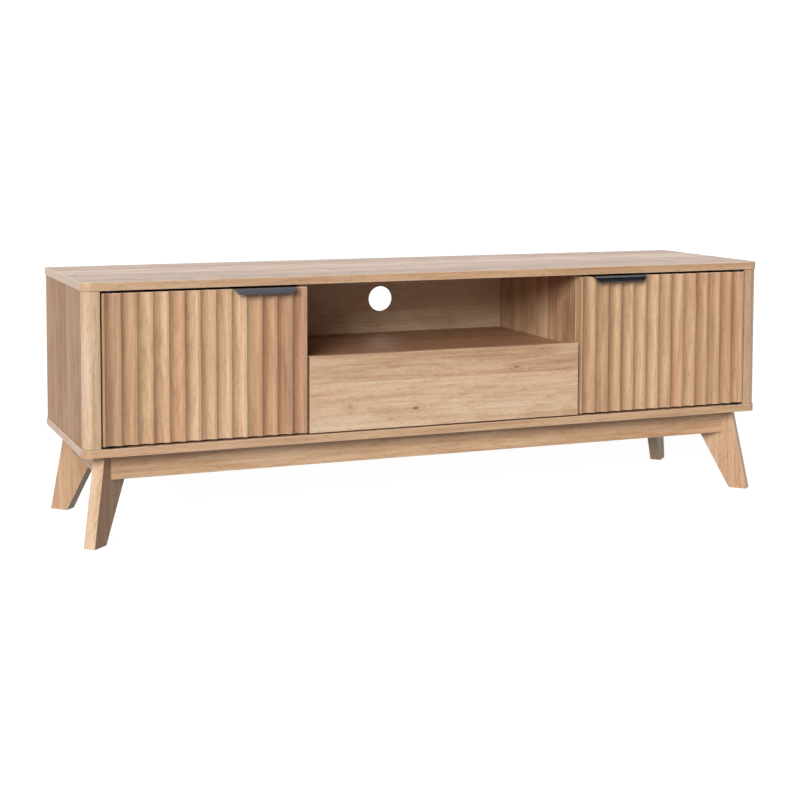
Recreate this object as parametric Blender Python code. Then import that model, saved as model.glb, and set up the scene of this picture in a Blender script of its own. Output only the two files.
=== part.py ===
"""A low television stand: a long oak cabinet on four splayed corner legs.

Two fluted doors turn on pivot pins, a drawer runs on telescopic runners between
them, and an open niche with a round cable hole lies above the drawer.  Metres,
+Z up, X along the front, -Y towards the viewer, origin under the middle on the floor.
"""
import math

import bpy
import bmesh
from mathutils import Matrix, Vector

# ---- overall sizes -----------------------------------------------------------------
WIDTH = 1.500            # cabinet top, side to side
DEPTH = 0.400            # cabinet top, front to back
HEIGHT = 0.509           # floor to the top surface
LEG_HEIGHT = 0.176       # floor to the underside of the cabinet
BOARD = 0.016            # every carcass board
CORNER_RADIUS = 0.020    # front corners of the top and bottom boards
CORNER_STEPS = 8         # straight facets round such a corner or a stile
FIT = 0.0003             # gap between pieces that touch

# ---- carcass -----------------------------------------------------------------------
SIDE_REVEAL = 0.002      # the sides stand this far in from the ends of the top
FRONT_REVEAL = 0.0015    # the stiles stand this far back from the front of the top
STILE_WIDTH = 0.033      # front post beside each door
STILE_RADIUS = 0.0185    # its rounded outer corner, which is also its depth
NICHE_WIDTH = 0.605      # clear width between the two dividers
NICHE_HEIGHT = 0.1515    # clear height over the niche shelf
BACK_THICKNESS = 0.004
BACK_RECESS = 0.010      # back panels stand this far in from the rear edges
BACK_SLACK = 0.0005      # round each back panel
CABLE_HOLE_DIAMETER = 0.056
CABLE_HOLE_SIDES = 32

# ---- doors -------------------------------------------------------------------------
DOOR_THICKNESS = 0.018
DOOR_SIDE_GAP = 0.0035   # between a door and its stile
DOOR_END_GAP = 0.005     # above and below a door
DOOR_BACK_GAP = 0.001    # between a door and the divider edge behind it
DIVIDER_REVEAL = 0.003   # strip of the divider edge left in sight beside a door
FLUTE_COUNT = 13
FLUTE_DEPTH = 0.005
FLUTE_RIDGE = 0.005      # flat strip between two flutes
FLUTE_LAND = 0.0045      # flat strip at both edges of a door
FLUTE_STEPS = 8          # straight facets across one flute

# ---- pivots ------------------------------------------------------------------------
PIVOT_FROM_EDGE = 0.014  # pin axis from the door's outer edge
PIVOT_FROM_FRONT = 0.0065
PIN_DIAMETER = 0.005
PIN_LENGTH = 0.0075      # below its plate
PLATE_LENGTH = 0.045
PLATE_WIDTH = 0.011
PLATE_THICKNESS = 0.002
PLATE_SETBACK = 0.004    # front edge of the plate from the front of the door
BUSH_FLANGE_DIAMETER = 0.014
BUSH_FLANGE_THICKNESS = 0.0013
BUSH_BARREL_DIAMETER = 0.009
BUSH_BARREL_LENGTH = 0.008
RUNNING_FIT = 0.0003     # radial play of the pin in its bush

# ---- edge pulls --------------------------------------------------------------------
HANDLE_LENGTH = 0.125
HANDLE_REACH = 0.016     # front of the lip from the front of the cabinet
HANDLE_INSET = 0.0255    # from the door's free edge
HANDLE_THICKNESS = 0.0015
HANDLE_SEAT = 0.012      # how far the plate lies on the door's top edge
HANDLE_DROP = 0.0118     # top of the plate to the bottom of the lip
HANDLE_BEND = 0.006      # outer radius between plate and lip
HANDLE_CORNER = 0.0085   # lower corners of the lip cut off
HANDLE_BEND_STEPS = 6

# ---- magnetic catches --------------------------------------------------------------
CATCH_SIZE = (0.040, 0.016, 0.012)
CATCH_GAP = 0.0006       # between magnet and strike plate
STRIKE_SIZE = (0.036, 0.0012, 0.011)
CATCH_INSET = 0.045      # middle of the catch from the divider's outer face

# ---- shelves behind the doors ------------------------------------------------------
SHELF_SLACK = 0.001      # at each end of a loose shelf
SHELF_SETBACK = 0.020    # its front edge behind the back of the door
SHELF_PIN_DIAMETER = 0.005
SHELF_PIN_LENGTH = 0.016
SHELF_PIN_DEPTH = 0.008  # how far a pin goes into the board
SHELF_PIN_FIT = 0.0002   # radial play of a pin in its hole
PIN_HOLE_PITCH = 0.032
PIN_ROW_INSET = 0.050    # rows of holes from the shelf's front and back edges
PIN_SIDES = 12

# ---- drawer ------------------------------------------------------------------------
DRAWER_SIDE_GAP = 0.003  # beside the drawer front
DRAWER_BOTTOM_GAP = 0.0035
DRAWER_LIP = 0.0075      # the drawer front stands this far above the niche shelf
DRAWER_FRONT_THICKNESS = 0.016
DRAWER_BOARD = 0.012
DRAWER_REAR_GAP = 0.0197 # between the drawer box and the back panel
DRAWER_BOX_LIFT = 0.012  # box over the cabinet bottom
DRAWER_BOX_DROP = 0.0215 # drawer sides under the niche shelf
DRAWER_BASE = 0.004
DRAWER_BASE_LIFT = 0.008 # base over the bottom edge of the drawer sides
DRAWER_BACK_DROP = 0.0077 # back board under the top of the drawer sides
GROOVE_DEPTH = 0.006
GROOVE_FIT = 0.0003

# ---- telescopic runners ------------------------------------------------------------
RUNNER_SPACE = 0.0127    # between divider and drawer side
RUNNER_FRONT_GAP = 0.006 # behind the divider's front edge
RUNNER_REAR_GAP = 0.011  # in front of the back panel
RUNNER_GAUGE = 0.0012    # sheet thickness
RUNNER_LIFT = 0.030      # centre line over the bottom of the drawer side
RUNNER_HEIGHTS = {"outer": 0.0350, "middle": 0.0290, "inner": 0.0230}
RUNNER_WEBS = {"outer": 0.0003, "middle": 0.0030, "inner": 0.0124}
RUNNER_LIPS = {"outer": 0.0092, "middle": 0.0106, "inner": 0.0060}

# ---- legs and aprons ---------------------------------------------------------------
LEG_THICKNESS = 0.025
LEG_FOOT_INSET = 0.0115  # outer edge of each foot from the cabinet's front and end
LEG_FOOT_WIDTH = 0.040   # along the diagonal
LEG_TOP_WIDTH = 0.100
LEG_RAKE = 0.0375        # top of the outer edge further in than its foot
APRON_HEIGHT = 0.0515
APRON_THICKNESS = 0.016
APRON_SETBACK = 0.057    # its face meets the leg this far in along the diagonal

# ---- places worked out from the sizes ----------------------------------------------
BACK_Y = (DEPTH + HANDLE_REACH) / 2
FRONT_Y = BACK_Y - DEPTH
FLOOR_TOP_Z = LEG_HEIGHT + BOARD
CEILING_Z = HEIGHT - BOARD
NICHE_SHELF_TOP = CEILING_Z - NICHE_HEIGHT
SIDE_X = WIDTH / 2 - SIDE_REVEAL
SIDE_INNER_X = SIDE_X - BOARD
STILE_INNER_X = SIDE_X - STILE_WIDTH
DIVIDER_INNER_X = NICHE_WIDTH / 2
DIVIDER_OUTER_X = DIVIDER_INNER_X + BOARD
DIVIDER_FRONT_Y = FRONT_Y + DOOR_THICKNESS + DOOR_BACK_GAP
BACK_PANEL_Y = BACK_Y - BACK_RECESS - BACK_THICKNESS
DOOR_OUTER_X = STILE_INNER_X - DOOR_SIDE_GAP
DOOR_INNER_X = DIVIDER_INNER_X + DIVIDER_REVEAL
DOOR_BOTTOM_Z = FLOOR_TOP_Z + DOOR_END_GAP
DOOR_TOP_Z = CEILING_Z - DOOR_END_GAP
DOOR_BACK_Y = FRONT_Y + DOOR_THICKNESS
PIVOT_X = DOOR_OUTER_X - PIVOT_FROM_EDGE
PIVOT_Y = FRONT_Y + PIVOT_FROM_FRONT
INNER_SHELF_FRONT_Y = DOOR_BACK_Y + SHELF_SETBACK
INNER_SHELF_BACK_Y = BACK_PANEL_Y - SHELF_SLACK
INNER_SHELF_Z = (FLOOR_TOP_Z + CEILING_Z) / 2
DRAWER_HALF_WIDTH = DIVIDER_INNER_X - DRAWER_SIDE_GAP
DRAWER_FRONT_BACK_Y = FRONT_Y + DRAWER_FRONT_THICKNESS
DRAWER_SIDE_OUTER_X = DIVIDER_INNER_X - RUNNER_SPACE
DRAWER_SIDE_INNER_X = DRAWER_SIDE_OUTER_X - DRAWER_BOARD
DRAWER_BOX_Z = FLOOR_TOP_Z + DRAWER_BOX_LIFT
DRAWER_BOX_FRONT_Y = DRAWER_FRONT_BACK_Y + FIT
DRAWER_BOX_BACK_Y = BACK_PANEL_Y - DRAWER_REAR_GAP
DRAWER_BOX_TOP_Z = NICHE_SHELF_TOP - BOARD - DRAWER_BOX_DROP
RUNNER_FRONT_Y = DIVIDER_FRONT_Y + RUNNER_FRONT_GAP
RUNNER_BACK_Y = BACK_PANEL_Y - RUNNER_REAR_GAP

SIDES = (("left", -1), ("right", 1))

# ---- how the solids are made -------------------------------------------------------
ROD_SIDES = 24
SMOOTH_ANGLE = 40        # degrees; steeper edges are drawn sharp
WELD = 0.00001           # corners nearer than this are one corner
THROUGH = 3              # a cutter is this many times as long as what it goes through

# ---- collections and materials -----------------------------------------------------
for old in list(bpy.data.objects):
    bpy.data.objects.remove(old, do_unlink=True)

PARTS = bpy.data.collections.new("tv_stand")
CUTTERS = bpy.data.collections.new("cutters")
bpy.context.scene.collection.children.link(PARTS)
bpy.context.scene.collection.children.link(CUTTERS)


def material(name, colour, roughness, metallic=0.0):
    made = bpy.data.materials.new(name)
    made.use_nodes = True
    shader = made.node_tree.nodes["Principled BSDF"]
    shader.inputs["Base Color"].default_value = (*colour, 1.0)
    shader.inputs["Roughness"].default_value = roughness
    shader.inputs["Metallic"].default_value = metallic
    made.diffuse_color = (*colour, 1.0)
    return made


OAK = material("oak_veneer", (0.62, 0.40, 0.23), 0.55)
FLUTED_OAK = material("oak_fluted", (0.58, 0.36, 0.20), 0.55)
LEG_OAK = material("oak_solid", (0.62, 0.41, 0.24), 0.5)
BACK_BOARD = material("back_board", (0.56, 0.38, 0.24), 0.65)
DRAWER_BOX = material("drawer_board", (0.70, 0.66, 0.60), 0.5)
BLACK_METAL = material("handle_black", (0.02, 0.022, 0.028), 0.35, 0.8)
ZINC = material("zinc_steel", (0.55, 0.56, 0.58), 0.3, 1.0)
BLACK_STEEL = material("black_steel", (0.03, 0.03, 0.033), 0.5, 0.9)
NYLON = material("black_nylon", (0.03, 0.03, 0.03), 0.5)


# ---- building helpers --------------------------------------------------------------
def add_object(name, data, finish=None, group=PARTS):
    made = bpy.data.objects.new(name, data)
    group.objects.link(made)
    if finish:
        data.materials.append(finish)
    else:
        made.hide_render = True
        made.display_type = "WIRE"
    return made


def span(name, low, high, finish=None, group=PARTS):
    """A box between two opposite corners."""
    low, high = Vector(low), Vector(high)
    size = high - low
    shape = bmesh.new()
    bmesh.ops.create_cube(shape, size=1.0)
    bmesh.ops.scale(shape, vec=size, verts=shape.verts)
    mesh = bpy.data.meshes.new(name)
    shape.to_mesh(mesh)
    shape.free()
    made = add_object(name, mesh, finish, group)
    made.location = (low + high) / 2
    return made


def rod(name, radius, length, centre, axis="Z", finish=None, group=PARTS, sides=ROD_SIDES):
    """A round bar about its own axis."""
    shape = bmesh.new()
    bmesh.ops.create_cone(
        shape, cap_ends=True, segments=sides, radius1=radius, radius2=radius, depth=length
    )
    mesh = bpy.data.meshes.new(name)
    shape.to_mesh(mesh)
    shape.free()
    mesh.shade_smooth()
    mesh.set_sharp_from_angle(angle=math.radians(SMOOTH_ANGLE))
    made = add_object(name, mesh, finish, group)
    made.location = centre
    if axis == "X":
        made.rotation_euler = (0, math.radians(90), 0)
    if axis == "Y":
        made.rotation_euler = (math.radians(90), 0, 0)
    return made


def outline_board(name, points, thickness, finish=None, group=PARTS):
    """A flat outline in its local XY, thickened both ways along its local Z."""
    curve = bpy.data.curves.new(name, "CURVE")
    curve.dimensions = "2D"
    curve.fill_mode = "BOTH"
    curve.extrude = thickness / 2
    spline = curve.splines.new("POLY")
    spline.points.add(len(points) - 1)
    for point, (x, y) in zip(spline.points, points):
        point.co = (x, y, 0, 1)
    spline.use_cyclic_u = True
    return add_object(name, curve, finish, group)


def arc(centre, radius, start, end, steps):
    """Points along an arc, angles in degrees."""
    points = []
    for step in range(steps + 1):
        angle = math.radians(start + (end - start) * step / steps)
        points.append((centre[0] + radius * math.cos(angle), centre[1] + radius * math.sin(angle)))
    return points


def as_mesh(curve_object):
    """The same solid as a welded mesh object, so that it can be cut or can cut."""
    bpy.context.view_layer.update()
    graph = bpy.context.evaluated_depsgraph_get()
    mesh = bpy.data.meshes.new_from_object(curve_object.evaluated_get(graph))
    shape = bmesh.new()
    shape.from_mesh(mesh)
    bmesh.ops.remove_doubles(shape, verts=shape.verts, dist=WELD)
    bmesh.ops.recalc_face_normals(shape, faces=shape.faces)
    shape.to_mesh(mesh)
    shape.free()
    name = curve_object.name
    group = curve_object.users_collection[0]
    matrix = curve_object.matrix_world.copy()
    is_cutter = curve_object.hide_render
    bpy.data.objects.remove(curve_object, do_unlink=True)
    made = bpy.data.objects.new(name, mesh)
    group.objects.link(made)
    made.matrix_world = matrix
    made.hide_render = is_cutter
    if is_cutter:
        made.display_type = "WIRE"
    return made


def combine(target, tool, operation="DIFFERENCE"):
    """Cuts, joins or intersects the target with a tool kept in the cutters' collection."""
    step = target.modifiers.new(f"{operation.lower()} {tool.name}", "BOOLEAN")
    step.operation = operation
    step.object = tool
    step.solver = "EXACT"


# ---- carcass -----------------------------------------------------------------------
def horizontal_board(name, bottom_z):
    """Top or bottom board: square at the back, rounded at both front corners."""
    half = WIDTH / 2
    inner_x = half - CORNER_RADIUS
    inner_y = FRONT_Y + CORNER_RADIUS
    points = [(half, BACK_Y), (-half, BACK_Y)]
    points += arc((-inner_x, inner_y), CORNER_RADIUS, 180, 270, CORNER_STEPS)
    points += arc((inner_x, inner_y), CORNER_RADIUS, 270, 360, CORNER_STEPS)
    made = as_mesh(outline_board(name, points, BOARD, OAK))
    made.location.z = bottom_z + BOARD / 2
    return made


def pin_rows():
    """Places (y, z) of the shelf pin holes, front and back rows."""
    rows = (INNER_SHELF_FRONT_Y + PIN_ROW_INSET, INNER_SHELF_BACK_Y - PIN_ROW_INSET)
    heights = [pin_height() + PIN_HOLE_PITCH * step for step in (-1, 0, 1)]
    return [(y, z) for y in rows for z in heights]


def pin_height():
    return INNER_SHELF_Z - BOARD / 2 - SHELF_PIN_DIAMETER / 2 - FIT


def drill_pin_holes(board, face_x, inward):
    """Blind holes from one face of an upright board; inward is the way into the board."""
    for number, (y, z) in enumerate(pin_rows()):
        depth = SHELF_PIN_DEPTH + FIT
        start = face_x - inward * FIT
        middle = start + inward * (depth + FIT) / 2
        radius = SHELF_PIN_DIAMETER / 2 + SHELF_PIN_FIT
        name = f"{board.name}_pin_hole_{number}"
        hole = rod(name, radius, depth + FIT, (middle, y, z), "X", None, CUTTERS, PIN_SIDES)
        combine(board, hole)


def make_carcass():
    top = horizontal_board("top_panel", CEILING_Z)
    bottom = horizontal_board("bottom_panel", LEG_HEIGHT)
    low = FLOOR_TOP_Z + FIT
    high = CEILING_Z - FIT
    stile_back_y = FRONT_Y + FRONT_REVEAL + STILE_RADIUS
    for side, sign in SIDES:
        outer, inner = sign * SIDE_X, sign * SIDE_INNER_X
        panel = span(
            f"{side}_side_panel",
            (min(outer, inner), stile_back_y + FIT, low),
            (max(outer, inner), BACK_Y, high),
            OAK,
        )
        drill_pin_holes(panel, inner, sign)
        make_stile(side, sign, stile_back_y, low, high)
        outer, inner = sign * DIVIDER_OUTER_X, sign * DIVIDER_INNER_X
        divider = span(
            f"{side}_divider",
            (min(outer, inner), DIVIDER_FRONT_Y, low),
            (max(outer, inner), BACK_Y, high),
            OAK,
        )
        drill_pin_holes(divider, outer, -sign)
        make_inner_shelf(side, sign)
    span(
        "niche_shelf",
        (-DIVIDER_INNER_X + FIT, DIVIDER_FRONT_Y, NICHE_SHELF_TOP - BOARD),
        (DIVIDER_INNER_X - FIT, BACK_PANEL_Y - FIT, NICHE_SHELF_TOP),
        OAK,
    )
    make_back_panels()
    return top, bottom


def make_stile(side, sign, back_y, low, high):
    """Upright beside a door: square inside, its outer front corner a quarter round."""
    centre = (SIDE_X - STILE_RADIUS, back_y)
    points = arc(centre, STILE_RADIUS, 0, -90, CORNER_STEPS)
    points += [(STILE_INNER_X, back_y - STILE_RADIUS), (STILE_INNER_X, back_y)]
    points = [(sign * x, y) for x, y in points]
    made = as_mesh(outline_board(f"{side}_front_stile", points, high - low, OAK))
    made.location.z = (low + high) / 2


def make_back_panels():
    low = FLOOR_TOP_Z + BACK_SLACK
    high = CEILING_Z - BACK_SLACK
    bays = (
        ("left_back_panel", -SIDE_INNER_X, -DIVIDER_OUTER_X),
        ("niche_back_panel", -DIVIDER_INNER_X, DIVIDER_INNER_X),
        ("right_back_panel", DIVIDER_OUTER_X, SIDE_INNER_X),
    )
    for name, start, end in bays:
        panel = span(
            name,
            (start + BACK_SLACK, BACK_PANEL_Y, low),
            (end - BACK_SLACK, BACK_PANEL_Y + BACK_THICKNESS, high),
            BACK_BOARD,
        )
        if name == "niche_back_panel":
            middle_z = (NICHE_SHELF_TOP + CEILING_Z) / 2
            centre = (0, BACK_PANEL_Y + BACK_THICKNESS / 2, middle_z)
            radius, length = CABLE_HOLE_DIAMETER / 2, BACK_THICKNESS * THROUGH
            hole = rod("cable_hole", radius, length, centre, "Y", None, CUTTERS, CABLE_HOLE_SIDES)
            combine(panel, hole)


def make_inner_shelf(side, sign):
    """Loose shelf behind a door, on four pins."""
    start = DIVIDER_OUTER_X + SHELF_SLACK
    end = SIDE_INNER_X - SHELF_SLACK
    low_x, high_x = sorted((sign * start, sign * end))
    span(
        f"{side}_inner_shelf",
        (low_x, INNER_SHELF_FRONT_Y, INNER_SHELF_Z - BOARD / 2),
        (high_x, INNER_SHELF_BACK_Y, INNER_SHELF_Z + BOARD / 2),
        OAK,
    )
    front_row = INNER_SHELF_FRONT_Y + PIN_ROW_INSET
    rear_row = INNER_SHELF_BACK_Y - PIN_ROW_INSET
    walls = (("inner", DIVIDER_OUTER_X, 1), ("outer", SIDE_INNER_X, -1))
    reach = SHELF_PIN_LENGTH / 2 - SHELF_PIN_DEPTH
    for row, y in (("front", front_row), ("rear", rear_row)):
        for wall, face_x, into_bay in walls:
            centre = (sign * (face_x + into_bay * reach), y, pin_height())
            name = f"{side}_{row}_{wall}_shelf_pin"
            rod(name, SHELF_PIN_DIAMETER / 2, SHELF_PIN_LENGTH, centre, "X", ZINC, PARTS, PIN_SIDES)


# ---- legs and aprons ---------------------------------------------------------------
def make_leg(name, sign_x, sign_y):
    """A tapering plank on the diagonal of the corner, its foot pointing outwards."""
    top = LEG_HEIGHT - FIT
    points = [(0, 0), (-LEG_FOOT_WIDTH, 0), (-LEG_RAKE - LEG_TOP_WIDTH, top), (-LEG_RAKE, top)]
    made = outline_board(name, points, LEG_THICKNESS, LEG_OAK)
    foot_x = sign_x * (WIDTH / 2 - LEG_FOOT_INSET)
    foot_y = (BACK_Y + FRONT_Y) / 2 + sign_y * (DEPTH / 2 - LEG_FOOT_INSET)
    upright = Matrix.Rotation(math.radians(90), 4, "X")
    turn = Matrix.Rotation(math.atan2(sign_y, sign_x), 4, "Z")
    made.matrix_world = Matrix.Translation((foot_x, foot_y, 0)) @ turn @ upright
    return as_mesh(made)


def make_aprons():
    """Rails between the legs; their ends are mitred to lie on the legs' broad faces."""
    across = LEG_THICKNESS / 2 + FIT
    slant = math.sqrt(0.5)
    foot_x = WIDTH / 2 - LEG_FOOT_INSET
    foot_y = DEPTH / 2 - LEG_FOOT_INSET
    nearer = (APRON_SETBACK - across) * slant
    farther = (APRON_SETBACK + across) * slant
    for name, sign in (("front_apron", -1), ("rear_apron", 1)):
        x, y = foot_x - farther, sign * (foot_y - nearer)
        in_x, in_y = x - APRON_THICKNESS, y - sign * APRON_THICKNESS
        place_apron(name, [(-x, y), (x, y), (in_x, in_y), (-in_x, in_y)])
    for name, sign in (("left_apron", -1), ("right_apron", 1)):
        x, y = sign * (foot_x - nearer), foot_y - farther
        in_x, in_y = x - sign * APRON_THICKNESS, y - APRON_THICKNESS
        place_apron(name, [(x, -y), (x, y), (in_x, in_y), (in_x, -in_y)])


def place_apron(name, points):
    made = outline_board(name, points, APRON_HEIGHT, LEG_OAK)
    made.location = (0, (BACK_Y + FRONT_Y) / 2, LEG_HEIGHT - FIT - APRON_HEIGHT / 2)
    as_mesh(made)


# ---- doors -------------------------------------------------------------------------
def ride(axis, pieces):
    """Hangs pieces on an empty that stands on their joint's axis."""
    bpy.context.view_layer.update()
    for piece in pieces:
        piece.parent = axis
        piece.matrix_parent_inverse = axis.matrix_world.inverted()


def joint_axis(name, place):
    empty = bpy.data.objects.new(name, None)
    empty.location = place
    empty.empty_display_size = 0.05
    PARTS.objects.link(empty)
    return empty


def door_front_line():
    """The fluted front, as (distance from the outer edge, depth behind the front)."""
    width = DOOR_OUTER_X - DOOR_INNER_X
    flutes_width = width - 2 * FLUTE_LAND - (FLUTE_COUNT - 1) * FLUTE_RIDGE
    cove = flutes_width / FLUTE_COUNT
    half = cove / 2
    radius = (half ** 2 + FLUTE_DEPTH ** 2) / (2 * FLUTE_DEPTH)
    points = [(0, 0)]
    for flute in range(FLUTE_COUNT):
        start = FLUTE_LAND + flute * (cove + FLUTE_RIDGE)
        for step in range(FLUTE_STEPS + 1):
            along = cove * step / FLUTE_STEPS
            depth = math.sqrt(radius ** 2 - (along - half) ** 2) - (radius - FLUTE_DEPTH)
            points.append((start + along, max(depth, 0)))
    points.append((width, 0))
    return points


def make_door_panel(side, sign):
    points = [(sign * (DOOR_OUTER_X - along), FRONT_Y + depth) for along, depth in door_front_line()]
    points += [(sign * DOOR_INNER_X, DOOR_BACK_Y), (sign * DOOR_OUTER_X, DOOR_BACK_Y)]
    made = outline_board(f"{side}_door_panel", points, DOOR_TOP_Z - DOOR_BOTTOM_Z, FLUTED_OAK)
    made.location.z = (DOOR_TOP_Z + DOOR_BOTTOM_Z) / 2
    return as_mesh(made)


def make_handle(side, sign):
    """Edge pull: a plate on the door's top edge that bends down into a lip."""
    plate_top = DOOR_TOP_Z + FIT + HANDLE_THICKNESS
    lip_y = FRONT_Y - HANDLE_REACH
    seat_y = FRONT_Y + HANDLE_SEAT
    bend = (lip_y + HANDLE_BEND, plate_top - HANDLE_BEND)
    points = [(seat_y, plate_top)]
    points += arc(bend, HANDLE_BEND, 90, 180, HANDLE_BEND_STEPS)
    points += [(lip_y, plate_top - HANDLE_DROP), (lip_y + HANDLE_THICKNESS, plate_top - HANDLE_DROP)]
    points += arc(bend, HANDLE_BEND - HANDLE_THICKNESS, 180, 90, HANDLE_BEND_STEPS)
    points.append((seat_y, plate_top - HANDLE_THICKNESS))
    near_x = DOOR_INNER_X + HANDLE_INSET
    middle_x = sign * (near_x + HANDLE_LENGTH / 2)
    made = outline_board(f"{side}_door_handle", points, HANDLE_LENGTH, BLACK_METAL)
    side_on = Matrix(((0, 0, 1), (1, 0, 0), (0, 1, 0))).to_4x4()
    made.matrix_world = Matrix.Translation((middle_x, 0, 0)) @ side_on
    made = as_mesh(made)
    half = HANDLE_LENGTH / 2
    low = -HANDLE_DROP
    corner = HANDLE_CORNER
    face = [(-half, low + corner), (-half + corner, low), (half - corner, low), (half, low + corner)]
    face += [(half, HANDLE_THICKNESS), (-half, HANDLE_THICKNESS)]
    blank = outline_board(f"{side}_handle_outline", face, (HANDLE_REACH + HANDLE_SEAT) * 2)
    blank.rotation_euler.x = math.radians(90)
    blank.location = (middle_x, FRONT_Y, plate_top)
    combine(made, as_mesh(blank), "INTERSECT")
    return made


def make_pivot(side, sign, end, door_z, board, board_z, outward):
    """Pin plate on a door edge, and the bush in the board it turns in.

    outward is +1 at the top of the door and -1 at the bottom."""
    x = sign * PIVOT_X
    outer_x = sign * (DOOR_OUTER_X - FIT)
    inner_x = outer_x - sign * PLATE_LENGTH
    near = door_z + outward * FIT
    far = near + outward * PLATE_THICKNESS
    plate = span(
        f"{side}_{end}_pivot_plate",
        (min(outer_x, inner_x), FRONT_Y + PLATE_SETBACK, min(near, far)),
        (max(outer_x, inner_x), FRONT_Y + PLATE_SETBACK + PLATE_WIDTH, max(near, far)),
        BLACK_STEEL,
    )
    root = near + outward * PLATE_THICKNESS / 2
    tip = far + outward * PIN_LENGTH
    pin_centre = (x, PIVOT_Y, (root + tip) / 2)
    pin = rod(f"{plate.name}_pin", PIN_DIAMETER / 2, abs(tip - root), pin_centre, "Z", None, CUTTERS)
    combine(plate, pin, "UNION")

    flange_z = board_z - outward * (FIT + BUSH_FLANGE_THICKNESS / 2)
    bush = rod(
        f"{side}_{end}_pivot_bush",
        BUSH_FLANGE_DIAMETER / 2,
        BUSH_FLANGE_THICKNESS,
        (x, PIVOT_Y, flange_z),
        "Z",
        NYLON,
    )
    barrel_length = BUSH_BARREL_LENGTH + FIT + BUSH_FLANGE_THICKNESS / 2
    barrel_z = flange_z + outward * barrel_length / 2
    centre = (x, PIVOT_Y, barrel_z)
    radius = BUSH_BARREL_DIAMETER / 2
    barrel = rod(f"{bush.name}_barrel", radius, barrel_length, centre, "Z", None, CUTTERS)
    combine(bush, barrel, "UNION")
    bore_radius = PIN_DIAMETER / 2 + RUNNING_FIT
    bore = rod(f"{bush.name}_bore", bore_radius, barrel_length * THROUGH, centre, "Z", None, CUTTERS)
    combine(bush, bore)
    socket_depth = BUSH_BARREL_LENGTH + FIT
    socket_z = board_z + outward * (socket_depth - FIT) / 2
    socket = rod(
        f"{bush.name}_socket",
        BUSH_BARREL_DIAMETER / 2 + FIT,
        socket_depth + FIT,
        (x, PIVOT_Y, socket_z),
        "Z",
        None,
        CUTTERS,
    )
    combine(board, socket)
    return plate


def make_catch(side, sign):
    """Magnetic catch under the top board, and its strike plate on the door."""
    middle_x = sign * (DIVIDER_OUTER_X + CATCH_INSET)
    width, depth, height = CATCH_SIZE
    strike_y = DOOR_BACK_Y + FIT
    catch_y = strike_y + STRIKE_SIZE[1] + CATCH_GAP
    high = CEILING_Z - FIT
    span(
        f"{side}_magnetic_catch",
        (middle_x - width / 2, catch_y, high - height),
        (middle_x + width / 2, catch_y + depth, high),
        NYLON,
    )
    width, depth, height = STRIKE_SIZE
    high = DOOR_TOP_Z - FIT
    return span(
        f"{side}_strike_plate",
        (middle_x - width / 2, strike_y, high - height),
        (middle_x + width / 2, strike_y + depth, high),
        ZINC,
    )


def make_doors(top, bottom):
    for side, sign in SIDES:
        pieces = [make_door_panel(side, sign), make_handle(side, sign), make_catch(side, sign)]
        pieces.append(make_pivot(side, sign, "upper", DOOR_TOP_Z, top, CEILING_Z, 1))
        pieces.append(make_pivot(side, sign, "lower", DOOR_BOTTOM_Z, bottom, FLOOR_TOP_Z, -1))
        axis = joint_axis(f"{side}_door_axis", (sign * PIVOT_X, PIVOT_Y, DOOR_BOTTOM_Z))
        ride(axis, pieces)


# ---- drawer and runners ------------------------------------------------------------
def make_drawer():
    front = span(
        "drawer_front",
        (-DRAWER_HALF_WIDTH, FRONT_Y, FLOOR_TOP_Z + DRAWER_BOTTOM_GAP),
        (DRAWER_HALF_WIDTH, DRAWER_FRONT_BACK_Y, NICHE_SHELF_TOP + DRAWER_LIP),
        OAK,
    )
    base_z = DRAWER_BOX_Z + DRAWER_BASE_LIFT
    pieces = [front]
    for side, sign in SIDES:
        low_x, high_x = sorted((sign * DRAWER_SIDE_INNER_X, sign * DRAWER_SIDE_OUTER_X))
        wall = span(
            f"drawer_{side}_side",
            (low_x, DRAWER_BOX_FRONT_Y, DRAWER_BOX_Z),
            (high_x, DRAWER_BOX_BACK_Y, DRAWER_BOX_TOP_Z),
            DRAWER_BOX,
        )
        cut = sorted(
            (sign * (DRAWER_SIDE_INNER_X - GROOVE_DEPTH), sign * (DRAWER_SIDE_INNER_X + GROOVE_DEPTH))
        )
        groove = span(
            f"{wall.name}_groove",
            (cut[0], DRAWER_BOX_FRONT_Y - BOARD, base_z - GROOVE_FIT),
            (cut[1], DRAWER_BOX_BACK_Y + BOARD, base_z + DRAWER_BASE + GROOVE_FIT),
            None,
            CUTTERS,
        )
        combine(wall, groove)
        pieces.append(wall)
    half = DRAWER_SIDE_INNER_X + GROOVE_DEPTH - FIT
    pieces.append(span(
        "drawer_base",
        (-half, DRAWER_BOX_FRONT_Y, base_z),
        (half, DRAWER_BOX_BACK_Y, base_z + DRAWER_BASE),
        DRAWER_BOX,
    ))
    half = DRAWER_SIDE_INNER_X - FIT
    pieces.append(span(
        "drawer_back",
        (-half, DRAWER_BOX_BACK_Y - DRAWER_BOARD, base_z + DRAWER_BASE + FIT),
        (half, DRAWER_BOX_BACK_Y, DRAWER_BOX_TOP_Z - DRAWER_BACK_DROP),
        DRAWER_BOX,
    ))
    return pieces


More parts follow.
